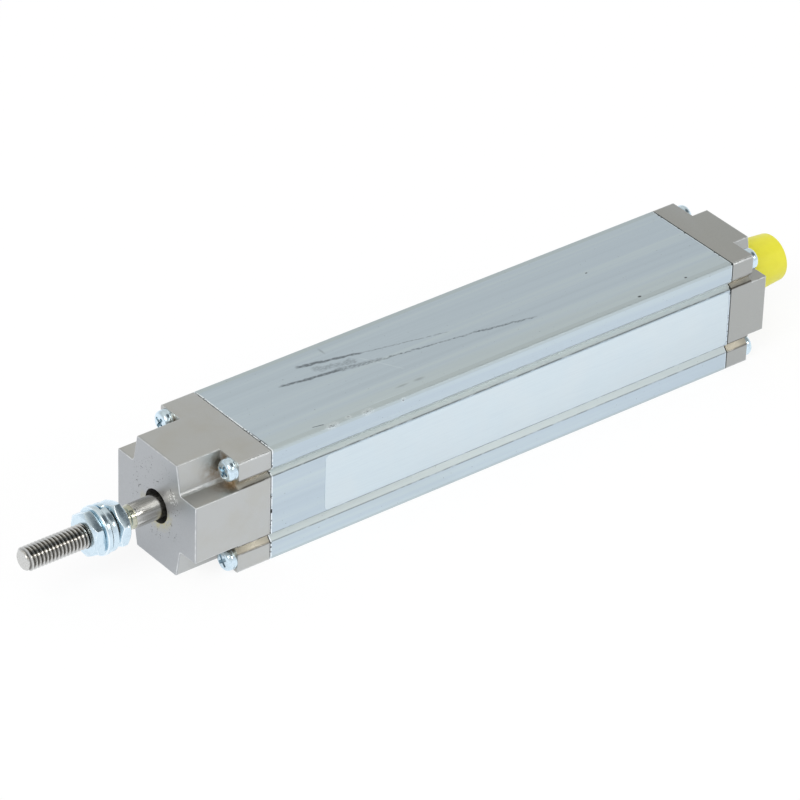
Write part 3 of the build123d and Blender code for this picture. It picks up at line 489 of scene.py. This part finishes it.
SCREW_EDGE = 0.05 * MM
RECESS_LIP = 0.12 * MM
RECESS_DEPTH = 1.4 * MM
RECESS_REACH = 1.9 * MM


def mark_recesses(screws, face, inwards):
    """Marks the faces inside the cross recesses for painted shade; inwards is 1 or -1 along X."""
    recess = screws.data.attributes.new("recess", "FLOAT", "FACE")
    for polygon in screws.data.polygons:
        centre = polygon.center
        from_screw = Vector((abs(centre.y) - SCREW_OFFSET, abs(centre.z - ROD_LEVEL) - SCREW_OFFSET))
        depth = (centre.x - face) * inwards
        inside = RECESS_LIP < depth < RECESS_DEPTH and from_screw.length < RECESS_REACH
        recess.data[polygon.index].value = 1.0 if inside else 0.0


BRIGHT_ZINC = bright_zinc()
for node in ("front_cap_screws", "rear_cap_screws", "front_cap_washers", "rear_cap_washers"):
    part = softened(node, SCREW_EDGE)
    if node == "front_cap_screws":
        mark_recesses(part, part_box(node)[0].x, 1)
    elif node == "rear_cap_screws":
        mark_recesses(part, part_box(node)[1].x, -1)
    fit(part, node, BRIGHT_ZINC)


# Rod guide: a sintered bronze bush in the front cap, held by a spring-steel retaining ring. A
# second ring of that kind holds the connector in the rear cap.
def sintered_bronze():
    """Warm bronze with the open grain of sintered metal."""
    finish = Finish("sintered_bronze", paint(196, 156, 104), 0.42, metallic=1.0)
    grain = finish.grain((0.12 * MM,) * 3)
    finish.tint(finish.level(grain, 0.5, 0.75, 0, 0.5), paint(142, 106, 66))
    finish.relief(grain, 0.008 * MM)
    return finish.material


def spring_steel():
    """Dark oiled spring steel."""
    finish = Finish("spring_steel", paint(92, 92, 96), 0.38, metallic=1.0)
    finish.tint(finish.level(finish.grain((0.8 * MM,) * 3), 0.45, 0.7, 0, 0.6), paint(58, 56, 58))
    return finish.material


cover("guide_bush", sintered_bronze())
SPRING_STEEL = spring_steel()
cover("bush_clip", SPRING_STEEL)
cover("connector_clip", SPRING_STEEL)


# Measuring rod: centreless-ground stainless steel. Its outer end has a rolled M6 thread with a
# chamfered point, then a run-out neck and a slim collar that keeps grease. Inside the housing it has
# a seat for the stop collar, and behind that a thinner stem for the core.
ROD_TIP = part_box("measuring_rod")[0].x
ROD_INNER_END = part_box("measuring_rod")[1].x
ROD_RADIUS = 3.0 * MM
ROD_EDGE = 0.04 * MM
THREAD_RADIUS = 2.95 * MM
THREAD_LENGTH = 27.4 * MM
THREAD_END = ROD_TIP + THREAD_LENGTH
THREAD_PITCH = 1.0 * MM
POINT_CHAMFER = 0.7 * MM
NECK_RADIUS = 2.55 * MM
NECK_LENGTH = 0.9 * MM
COLLAR_START = THREAD_END + NECK_LENGTH
COLLAR_END = COLLAR_START + 1.1 * MM
GREASED_COLLAR_RADIUS = 2.85 * MM
STOP_SEAT_START, STOP_SEAT_END = (corner.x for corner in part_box("stop_collar"))
STOP_SEAT_RADIUS = 2.5 * MM
STEM_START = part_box("ferrite_core")[0].x
STEM_RADIUS = 2.0 * MM


def first_point(x, radius):
    """New piece that is a single point on the near side of the rod's axis."""
    bpy.ops.object.select_all(action="DESELECT")
    bpy.ops.mesh.primitive_plane_add(size=0.1 * MM, location=(x, -radius, ROD_LEVEL))
    bpy.ops.object.transform_apply(location=True)
    bpy.ops.object.mode_set(mode="EDIT")
    bpy.ops.mesh.merge(type="CENTER")


def wind(name, points, facets, rise=0.0, turns=1):
    """Turns a line of (x, radius) points about the rod's axis; a thread also rises along it."""
    first_point(*points[0])
    for (x, radius), (next_x, next_radius) in zip(points, points[1:]):
        step = (next_x - x, radius - next_radius, 0)
        bpy.ops.mesh.extrude_region_move(TRANSFORM_OT_translate={"value": step})
    bpy.ops.object.mode_set(mode="OBJECT")
    piece = bpy.context.object
    piece.name = name
    piece.data.transform(Matrix.Translation((0, 0, -ROD_LEVEL)))
    bpy.ops.object.modifier_add(type="SCREW")
    winding = piece.modifiers[-1]
    winding.axis = "X"
    winding.angle = 2 * pi
    winding.screw_offset = rise
    winding.iterations = turns
    winding.steps = facets
    winding.render_steps = facets
    winding.use_merge_vertices = True
    winding.merge_threshold = 0.001 * MM
    bpy.ops.object.modifier_apply(modifier=winding.name)
    piece.data.transform(Matrix.Translation((0, 0, ROD_LEVEL)))
    return piece


def close_up(piece):
    """Merges what meets, turns the faces outwards and smooths the round ones."""
    bpy.ops.object.mode_set(mode="EDIT")
    bpy.ops.mesh.select_all(action="SELECT")
    bpy.ops.mesh.remove_doubles(threshold=0.002 * MM)
    bpy.ops.mesh.normals_make_consistent(inside=False)
    bpy.ops.object.mode_set(mode="OBJECT")
    bpy.ops.object.shade_smooth_by_angle(angle=radians(35))
    return piece


def threaded(name, start, end, radius, pitch, facets):
    """Length of thread with sixty-degree flanks, wound too long and cut square at both ends.

    One tooth is a flat root, a flank, a narrow crest and a flank, in shares of the pitch.
    """
    root = radius - 0.58 * pitch
    tooth = [(0, root), (0.22, root), (0.55, radius), (0.67, radius), (1, root)]
    turns = int((end - start) / pitch) + 3
    points = [(start - 1.5 * pitch + share * pitch, level) for share, level in tooth]
    thread = wind(name, points, facets, rise=pitch, turns=turns)
    bpy.ops.object.mode_set(mode="EDIT")
    for cut, way in ((start, -1), (end, 1)):
        bpy.ops.mesh.select_all(action="SELECT")
        bpy.ops.mesh.bisect(
            plane_co=(cut, 0, ROD_LEVEL), plane_no=(way, 0, 0),
            clear_outer=True, use_fill=True, threshold=0.001 * MM,
        )
    bpy.ops.object.mode_set(mode="OBJECT")
    return thread


def turned_down(thread, limit):
    """Turns a thread down to a largest radius that depends on x, for a point or a run-out."""
    for vertex in thread.data.vertices:
        arm = Vector((0, vertex.co.y, vertex.co.z - ROD_LEVEL))
        spare = limit(vertex.co.x) / max(arm.length, 1e-9)
        if spare < 1:
            vertex.co -= arm * (1 - spare)


def join(pieces, name):
    """One object from pieces that are one part of the real thing."""
    bpy.ops.object.select_all(action="DESELECT")
    for piece in pieces:
        piece.select_set(True)
    bpy.context.view_layer.objects.active = pieces[0]
    bpy.ops.object.join()
    pieces[0].name = name
    return close_up(pieces[0])


def ground_stainless():
    """Polished rod, rubbed lengthwise, with painted shade in the thread and yellow with grease at the neck.
    """
    finish = Finish("ground_stainless", paint(200, 198, 193), 0.2, metallic=1.0)
    rubs = finish.grain((9 * MM, 0.22 * MM, 0.22 * MM), detail=4)
    finish.tint(finish.level(rubs, 0.5, 0.66, 0, 0.7), paint(222, 221, 217))
    finish.tint(finish.level(rubs, 0.48, 0.32, 0, 0.6), paint(128, 121, 110))
    finish.gloss(rubs, 0.14, 0.28)
    finish.relief(rubs, 0.003 * MM)
    # Painted shade in the thread: its roots are darkened from just past the point to the neck.
    in_thread = finish.level(finish.along("X"), THREAD_END, THREAD_END - 0.1 * MM)
    root = finish.level(finish.from_axis(), THREAD_RADIUS - 0.15 * MM, THREAD_RADIUS - 0.5 * MM)
    past_point = finish.level(finish.along("X"), ROD_TIP + 0.3 * MM, ROD_TIP + 0.6 * MM)
    dark = finish.combine(finish.combine(in_thread, root), finish.combine(past_point, 0.8))
    finish.tint(dark, paint(72, 68, 62))
    collar = finish.level(finish.apart("X", COLLAR_START), 1.2 * MM, 1.0 * MM)
    below_rod = finish.level(finish.from_axis(), ROD_RADIUS - 0.02 * MM, ROD_RADIUS - 0.06 * MM)
    finish.tint(finish.combine(finish.combine(collar, below_rod), 0.7), paint(194, 193, 166))
    return finish.material


rod_thread = threaded("rod_thread", ROD_TIP, THREAD_END, THREAD_RADIUS, THREAD_PITCH, facets=56)
turned_down(
    rod_thread,
    lambda x: min(THREAD_RADIUS - POINT_CHAMFER + (x - ROD_TIP), NECK_RADIUS + (THREAD_END - x)),
)
rod_body = wind(
    "rod_body",
    [
        (THREAD_END, 0),
        (THREAD_END, NECK_RADIUS),
        (COLLAR_START - (GREASED_COLLAR_RADIUS - NECK_RADIUS), NECK_RADIUS),
        (COLLAR_START, GREASED_COLLAR_RADIUS),
        (COLLAR_END, GREASED_COLLAR_RADIUS),
        (COLLAR_END, ROD_RADIUS - ROD_EDGE),
        (COLLAR_END + ROD_EDGE, ROD_RADIUS),
        (STOP_SEAT_START, ROD_RADIUS),
        (STOP_SEAT_START, STOP_SEAT_RADIUS),
        (STOP_SEAT_END, STOP_SEAT_RADIUS),
        (STOP_SEAT_END, ROD_RADIUS),
        (STEM_START, ROD_RADIUS),
        (STEM_START, STEM_RADIUS),
        (ROD_INNER_END, STEM_RADIUS),
        (ROD_INNER_END, 0),
    ],
    facets=72,
)
rod = join([rod_body, rod_thread], "measuring_rod_finished")
GROUND_STAINLESS = ground_stainless()
fit(rod, "measuring_rod", GROUND_STAINLESS, body="rod")
cover("stop_collar", GROUND_STAINLESS)


# Nuts and washers on the rod: turned hexagon nuts, chamfered at both faces, a flat washer and a
# split spring washer that rises over one turn, all in bright zinc. So is the nut behind the core.
NUT_EDGE = 0.08 * MM
SPRING_RISE = 0.55 * MM
for node in ("front_rod_nut", "rear_rod_nut", "flat_washer", "spring_washer"):
    part = softened(node, NUT_EDGE)
    if node == "spring_washer":
        for vertex in part.data.vertices:
            turned = atan2(-vertex.co.y, vertex.co.z - ROD_LEVEL) % (2 * pi)
            vertex.co.x += SPRING_RISE * turned / (2 * pi)
    fit(part, node, BRIGHT_ZINC, body="rod")
cover("core_nut", BRIGHT_ZINC)


# Core: a sintered ferrite tube on the rod's stem, and behind it the slick plastic slider.
def ferrite():
    """Dark grey sintered ferrite."""
    finish = Finish("ferrite", paint(58, 58, 62), 0.5)
    grain = finish.grain((0.3 * MM,) * 3)
    finish.tint(finish.level(grain, 0.45, 0.7, 0, 0.5), paint(84, 84, 90))
    finish.relief(grain, 0.01 * MM)
    return finish.material


def white_plastic():
    """Natural white moulded plastic."""
    finish = Finish("white_plastic", paint(226, 226, 218), 0.45)
    clouds = finish.grain((3 * MM,) * 3)
    finish.tint(finish.level(clouds, 0.4, 0.7, 0, 0.5), paint(214, 213, 202))
    finish.relief(finish.grain((0.1 * MM,) * 3), 0.005 * MM)
    return finish.material


cover("ferrite_core", ferrite())
WHITE_PLASTIC = white_plastic()
for node in ("core_slider", "coil_former", "front_holder", "rear_holder"):
    cover(node, WHITE_PLASTIC)


# Windings: enamelled copper wire in five sections on the ribbed former, wound close, turn by turn.
# The wave pattern counts twenty radians in each of its own steps.
RING_SPACING = 1.257 * MM
RADIANS_PER_STEP = 20


def copper_wire():
    """Close turns of enamelled wire, seen as rings, with painted shade between the turns."""
    finish = Finish("copper_wire", paint(186, 104, 56), 0.3, metallic=1.0)
    wave = finish.nodes.new("ShaderNodeTexWave")
    wave.bands_direction = "X"
    wave.inputs["Scale"].default_value = 2 * pi / (RADIANS_PER_STEP * RING_SPACING)
    finish.links.new(finish.place, wave.inputs["Vector"])
    # Painted shade where the turns meet.
    finish.tint(finish.level(wave.outputs["Fac"], 0.0, 0.5, 0.6, 0), paint(110, 52, 24))
    finish.relief(wave.outputs["Fac"], 0.03 * MM)
    return finish.material


cover("coil_windings", copper_wire())


# Boards: glass-fibre laminate with green solder mask, black chips, small capacitors and a header
# whose gold-plated pins carry the signals to the upright board behind the connector.
def board_laminate():
    """Green solder mask with lighter tracks under it."""
    finish = Finish("board_laminate", paint(38, 104, 58), 0.3)
    tracks = finish.grain((9 * MM, 1.2 * MM, 1.2 * MM), detail=1)
    finish.tint(finish.level(tracks, 0.50, 0.52, 0, 0.6), paint(66, 140, 82))
    finish.relief(tracks, 0.02 * MM)
    return finish.material


def black_plastic():
    """Matt black moulded plastic."""
    finish = Finish("black_plastic", paint(40, 40, 42), 0.5)
    grain = finish.grain((0.15 * MM,) * 3)
    finish.tint(finish.level(grain, 0.5, 0.8, 0, 0.4), paint(66, 66, 68))
    finish.relief(grain, 0.008 * MM)
    return finish.material


def capacitor_can():
    """Drawn aluminium can."""
    finish = Finish("capacitor_can", paint(198, 200, 204), 0.3, metallic=1.0)
    finish.gloss(finish.grain((0.3 * MM, 0.3 * MM, 3 * MM)), 0.22, 0.4)
    return finish.material


def gold_plating():
    """Thin gold over nickel on contact pins."""
    finish = Finish("gold_plating", paint(232, 194, 110), 0.22, metallic=1.0)
    finish.gloss(finish.grain((0.4 * MM,) * 3), 0.16, 0.32)
    return finish.material


BOARD_LAMINATE = board_laminate()
BLACK_PLASTIC = black_plastic()
GOLD_PLATING = gold_plating()
cover("circuit_board", BOARD_LAMINATE)
cover("rear_board", BOARD_LAMINATE)
cover("board_chips", BLACK_PLASTIC)
cover("board_header", BLACK_PLASTIC)
cover("board_capacitors", capacitor_can())
cover("header_pins", GOLD_PLATING)


# Connector: a nickel-plated brass shell, turned with a collar and a seal groove. Its outer end has
# the M12 thread. In it are a black moulded insert with its key and eight gold-plated contact pins.
SHELL_START, SHELL_END = (corner.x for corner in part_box("connector_shell"))
CAP_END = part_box("rear_cap")[1].x
SHELL_BORE = 4.6 * MM
SHELL_COLLAR_RADIUS = 8.0 * MM
SHELL_COLLAR_END = SHELL_START + 1.6 * MM
BARREL_RADIUS = 6.3 * MM
SEAL_START, SEAL_END = (corner.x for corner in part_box("connector_seal"))
SEAL_SEAT_RADIUS = BARREL_RADIUS - 0.9 * MM
PLUG_THREAD_RADIUS = 5.95 * MM
PLUG_PITCH = 1.0 * MM
PLUG_CHAMFER = 0.6 * MM
DRILL_LENGTH = 40 * MM


def nickel_plating():
    """Bright nickel over turned brass."""
    finish = Finish("nickel_plating", paint(204, 202, 192), 0.22, metallic=1.0)
    rings = finish.grain((0.2 * MM, 12 * MM, 12 * MM))
    finish.tint(finish.level(rings, 0.5, 0.75, 0, 0.4), paint(170, 166, 152))
    finish.gloss(rings, 0.16, 0.32)
    return finish.material


barrel = wind(
    "connector_barrel",
    [
        (SHELL_START, SHELL_BORE),
        (SHELL_START, SHELL_COLLAR_RADIUS),
        (SHELL_COLLAR_END, SHELL_COLLAR_RADIUS),
        (SHELL_COLLAR_END, BARREL_RADIUS),
        (SEAL_START, BARREL_RADIUS),
        (SEAL_START, SEAL_SEAT_RADIUS),
        (SEAL_END, SEAL_SEAT_RADIUS),
        (SEAL_END, BARREL_RADIUS),
        (CAP_END, BARREL_RADIUS),
        (CAP_END, SHELL_BORE),
        (SHELL_START, SHELL_BORE),
    ],
    facets=72,
)
plug_thread = threaded("plug_thread", CAP_END, SHELL_END, PLUG_THREAD_RADIUS, PLUG_PITCH, facets=72)
turned_down(plug_thread, lambda x: PLUG_THREAD_RADIUS - PLUG_CHAMFER + (SHELL_END - x))
bpy.ops.object.select_all(action="DESELECT")
bpy.ops.mesh.primitive_cylinder_add(
    vertices=72, radius=SHELL_BORE, depth=DRILL_LENGTH,
    location=(CAP_END, 0, ROD_LEVEL), rotation=(0, pi / 2, 0),
)
drill = bpy.context.object
bpy.context.view_layer.objects.active = plug_thread
bpy.ops.object.modifier_add(type="BOOLEAN")
plug_thread.modifiers[-1].operation = "DIFFERENCE"
plug_thread.modifiers[-1].object = drill
bpy.ops.object.modifier_apply(modifier=plug_thread.modifiers[-1].name)
bpy.data.objects.remove(drill)
shell = join([barrel, plug_thread], "connector_shell_finished")
fit(shell, "connector_shell", nickel_plating())
cover("connector_insert", BLACK_PLASTIC)
cover("connector_pins", GOLD_PLATING)


# Dust cap: soft yellow plastic, moulded with a slight taper and pushed over the connector's thread
# to keep dirt out of its contacts.
MOULDED_EDGE = 0.15 * MM


def yellow_plastic():
    """Soft yellow plastic with a waxy surface."""
    finish = Finish("yellow_plastic", paint(232, 226, 54), 0.4)
    clouds = finish.grain((2.5 * MM,) * 3)
    finish.tint(finish.level(clouds, 0.4, 0.7, 0, 0.4), paint(222, 214, 44))
    finish.shader.inputs["Subsurface Weight"].default_value = 0.15
    finish.shader.inputs["Subsurface Radius"].default_value = (1.0, 0.8, 0.2)
    finish.shader.inputs["Subsurface Scale"].default_value = 0.6 * MM
    finish.relief(clouds, 0.02 * MM)
    return finish.material


dust_cap = softened("dust_cap", MOULDED_EDGE)
fit(dust_cap, "dust_cap", yellow_plastic(), body="dust_cap")


# Type label: a thin silvery foil sticker with rounded corners, stuck on the near side between the
# grooves. It is bare.
FOIL_EDGE = 0.02 * MM


def label_foil():
    """Satin foil with a faint brushed grain and lighter clouds under a thin clear coat."""
    finish = Finish("label_foil", paint(206, 220, 228), 0.5)
    brushed = finish.grain((8 * MM, 0.2 * MM, 0.15 * MM), detail=4)
    clouds = finish.grain((12 * MM,) * 3)
    finish.tint(finish.level(brushed, 0.45, 0.75, 0, 0.35), paint(190, 204, 216))
    finish.tint(finish.level(clouds, 0.4, 0.7, 0, 0.3), paint(214, 222, 226))
    finish.shader.inputs["Coat Weight"].default_value = 0.3
    finish.shader.inputs["Coat Roughness"].default_value = 0.35
    return finish.material


fit(softened("type_label", FOIL_EDGE), "type_label", label_foil())


# Table: a white photographer's board. It stays white to the camera and in reflections, and keeps
# the sensor's soft shadow.
TABLE_WIDTH = 6.0
TABLE_IN_METAL = 0.6
COOL_WHITE = (0.93, 0.975, 1.04, 1)


def white_board():
    """White board that only the sensor's shadow dims, and that metal sees a little cooler."""
    finish = Finish("white_board", paint(245, 245, 245), 0.9)
    grain = finish.grain((4 * MM,) * 3)
    finish.tint(finish.level(grain, 0.4, 0.6, 0, 0.3), paint(242, 242, 242))
    ray = finish.nodes.new("ShaderNodeLightPath")
    seen = finish.combine(ray.outputs["Is Camera Ray"], ray.outputs["Is Transmission Ray"], "MAXIMUM")
    surface = finish.shader.outputs["BSDF"]
    for name, amount, colour, strength in (
        ("in metal", finish.combine(ray.outputs["Is Glossy Ray"], TABLE_IN_METAL), COOL_WHITE, 1.3),
        ("to the camera", finish.combine(seen, 0.85), (1, 1, 1, 1), 1.02),
    ):
        white = finish.nodes.new("ShaderNodeEmission")
        white.label = name
        white.inputs["Color"].default_value = colour
        white.inputs["Strength"].default_value = strength
        blend = finish.nodes.new("ShaderNodeMixShader")
        finish.links.new(amount, blend.inputs["Fac"])
        finish.links.new(surface, blend.inputs[1])
        finish.links.new(white.outputs["Emission"], blend.inputs[2])
        surface = blend.outputs["Shader"]
    finish.links.new(surface, finish.nodes["Material Output"].inputs["Surface"])
    return finish.material


bpy.ops.object.select_all(action="DESELECT")
bpy.ops.mesh.primitive_plane_add(size=TABLE_WIDTH)
table = bpy.context.object
table.name = "table"
table.data.materials.append(white_board())


# Studio: a white tent. Metal sees it cool white at the horizon and a little dimmer overhead, and sees
# a black card above on the right, which darkens one flat of each nut. The object itself is lit
# evenly from all round.
TENT_LEVEL = 0.75
CARD_DIRECTION = Vector((0.53, -0.25, 0.81)).normalized()
CARD_EDGE = 0.90
CARD_MIDDLE = 0.965
CARD_BLACK = (0.13, 0.15, 0.165, 1)
SLOPE_WHITE = (0.70, 0.705, 0.685, 1)
OVERHEAD_WHITE = (0.86, 0.865, 0.85, 1)
world = bpy.data.worlds.new("studio")
bpy.context.scene.world = world
world.use_nodes = True
tent, seams = world.node_tree.nodes, world.node_tree.links
direction = tent.new("ShaderNodeTexCoord").outputs["Generated"]

upwards = tent.new("ShaderNodeSeparateXYZ")
seams.new(direction, upwards.inputs["Vector"])
cloth = tent.new("ShaderNodeValToRGB")
seams.new(upwards.outputs["Z"], cloth.inputs["Fac"])
cloth.color_ramp.elements[0].position = 0.08
cloth.color_ramp.elements[0].color = COOL_WHITE
cloth.color_ramp.elements[1].position = 0.52
cloth.color_ramp.elements[1].color = SLOPE_WHITE
cloth.color_ramp.elements.new(0.9).color = OVERHEAD_WHITE

towards_card = tent.new("ShaderNodeVectorMath")
towards_card.operation = "DOT_PRODUCT"
towards_card.inputs[1].default_value = CARD_DIRECTION
seams.new(direction, towards_card.inputs[0])
darkness = tent.new("ShaderNodeMapRange")
darkness.inputs["From Min"].default_value = CARD_EDGE
darkness.inputs["From Max"].default_value = CARD_MIDDLE
seams.new(towards_card.outputs["Value"], darkness.inputs["Value"])
card = tent.new("ShaderNodeMix")
card.data_type = "RGBA"
seams.new(darkness.outputs["Result"], card.inputs["Factor"])
seams.new(cloth.outputs["Color"], card.inputs[6])
card.inputs[7].default_value = CARD_BLACK

even = tent["Background"]
even.inputs["Color"].default_value = (1, 1, 1, 1)
even.inputs["Strength"].default_value = TENT_LEVEL
in_metal = tent.new("ShaderNodeBackground")
seams.new(card.outputs[2], in_metal.inputs["Color"])
plain = tent.new("ShaderNodeBackground")
plain.inputs["Color"].default_value = (1, 1, 1, 1)
ray = tent.new("ShaderNodeLightPath")
to_camera = tent.new("ShaderNodeMath")
to_camera.operation = "MAXIMUM"
seams.new(ray.outputs["Is Camera Ray"], to_camera.inputs[0])
seams.new(ray.outputs["Is Transmission Ray"], to_camera.inputs[1])
seen = even.outputs["Background"]
for amount, light in ((ray.outputs["Is Glossy Ray"], in_metal), (to_camera.outputs["Value"], plain)):
    blend = tent.new("ShaderNodeMixShader")
    seams.new(amount, blend.inputs["Fac"])
    seams.new(seen, blend.inputs[1])
    seams.new(light.outputs["Background"], blend.inputs[2])
    seen = blend.outputs["Shader"]
seams.new(seen, tent["World Output"].inputs["Surface"])


def soft_lamp(name, place, width, power):
    """Square soft lamp that faces the middle of the housing."""
    bpy.ops.object.light_add(type="AREA", location=place)
    lamp = bpy.context.object
    lamp.name = name
    lamp.data.size = width
    lamp.data.energy = power
    aim = Vector((0, 0, ROD_LEVEL)) - Vector(place)
    lamp.rotation_euler = aim.to_track_quat("-Z", "Y").to_euler()


soft_lamp("left_lamp", (-2.4, -1.2, 2.6), 1.8, 48.0)
soft_lamp("right_lamp", (1.1, -1.55, 1.15), 0.3, 4.5)


# Camera: a long lens from the front left and above, turned a little about its own axis. It stands
# off from the middle of the housing's front end by its own right, its own up and its own back.
AZIMUTH = radians(-38.91)
ELEVATION = radians(33.28)
ROLL = radians(1.84)
STAND_OFFSET = Vector((38.35, 17.19, 1206.9)) * MM
LENS_LENGTH = 237.9
FILM_WIDTH = 36.0
bpy.ops.object.camera_add()
camera = bpy.context.object
turn = Euler((0, 0, AZIMUTH)).to_matrix() @ Euler((pi / 2 - ELEVATION, 0, 0)).to_matrix()
turn = turn @ Euler((0, 0, ROLL)).to_matrix()
camera.rotation_euler = turn.to_euler()
camera.location = turn @ STAND_OFFSET + Vector((HOUSING_LOW.x, 0, ROD_LEVEL))
camera.data.lens = LENS_LENGTH
camera.data.sensor_width = FILM_WIDTH
camera.data.clip_end = 10.0
bpy.context.scene.camera = camera
bpy.context.scene.view_settings.view_transform = "Standard"
